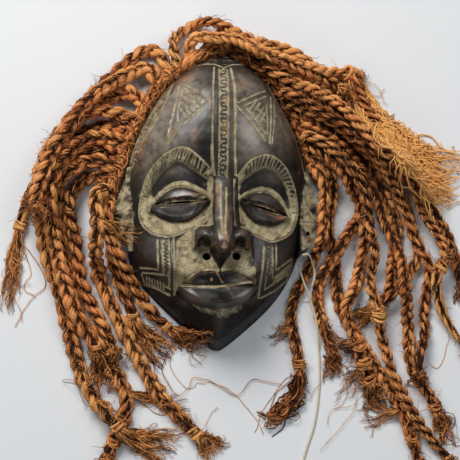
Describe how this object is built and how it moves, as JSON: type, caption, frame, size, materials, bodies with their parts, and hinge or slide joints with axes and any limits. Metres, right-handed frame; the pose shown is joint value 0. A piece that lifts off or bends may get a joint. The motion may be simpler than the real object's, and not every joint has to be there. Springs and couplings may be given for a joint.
{
  "type": "carved face mask",
  "caption": "Carved wooden face mask with slit eyes, pointed ears and a fringe of plaited fibre hair along its upper edge.",
  "frame": {"origin": "middle of the mask and its edge cord, without the loose plaits, on the surface that the rim rests on", "axes": "+Z out of the face, +Y from the chin towards the forehead, +X towards the viewer's right"},
  "size_m": [0.395, 0.3759, 0.0775],
  "materials": {
    "carved_wood": "dark rubbed patina with pale clay in the carving",
    "plaited_fibre": "rusty brown plant fibre, matt",
    "loose_fibre": "golden plant fibre with a slight sheen",
    "cotton_thread": "pale grey twisted thread, matt"
  },
  "bodies": {
    "root": {"dark_fibre_tuft": "plaited_fibre", "edge_cord": "plaited_fibre", "golden_fibre_tuft": "loose_fibre", "mask": "carved_wood", "plait_left_01": "plaited_fibre", "plait_left_02": "plaited_fibre", "plait_left_03": "plaited_fibre", "plait_left_04": "plaited_fibre", "plait_left_05": "plaited_fibre", "plait_left_06": "plaited_fibre", "plait_left_07": "plaited_fibre", "plait_left_08": "plaited_fibre", "plait_left_09": "plaited_fibre", "plait_left_10": "plaited_fibre", "plait_left_11": "plaited_fibre", "plait_left_12": "plaited_fibre", "plait_right_05": "plaited_fibre", "plait_right_06": "plaited_fibre", "plait_right_07": "plaited_fibre", "plait_right_08": "plaited_fibre", "plait_right_09": "plaited_fibre", "plait_right_10": "plaited_fibre", "plait_right_11": "plaited_fibre", "plait_right_12": "plaited_fibre", "plait_right_13": "plaited_fibre", "plait_right_14": "plaited_fibre", "plait_right_15": "plaited_fibre", "plait_right_16": "plaited_fibre", "plait_right_17": "plaited_fibre", "plait_top_01": "plaited_fibre", "plait_top_02": "plaited_fibre", "plait_top_03": "plaited_fibre", "plait_top_04": "plaited_fibre", "thread_long": "cotton_thread", "thread_short": "cotton_thread"}
  },
  "joints": []
}
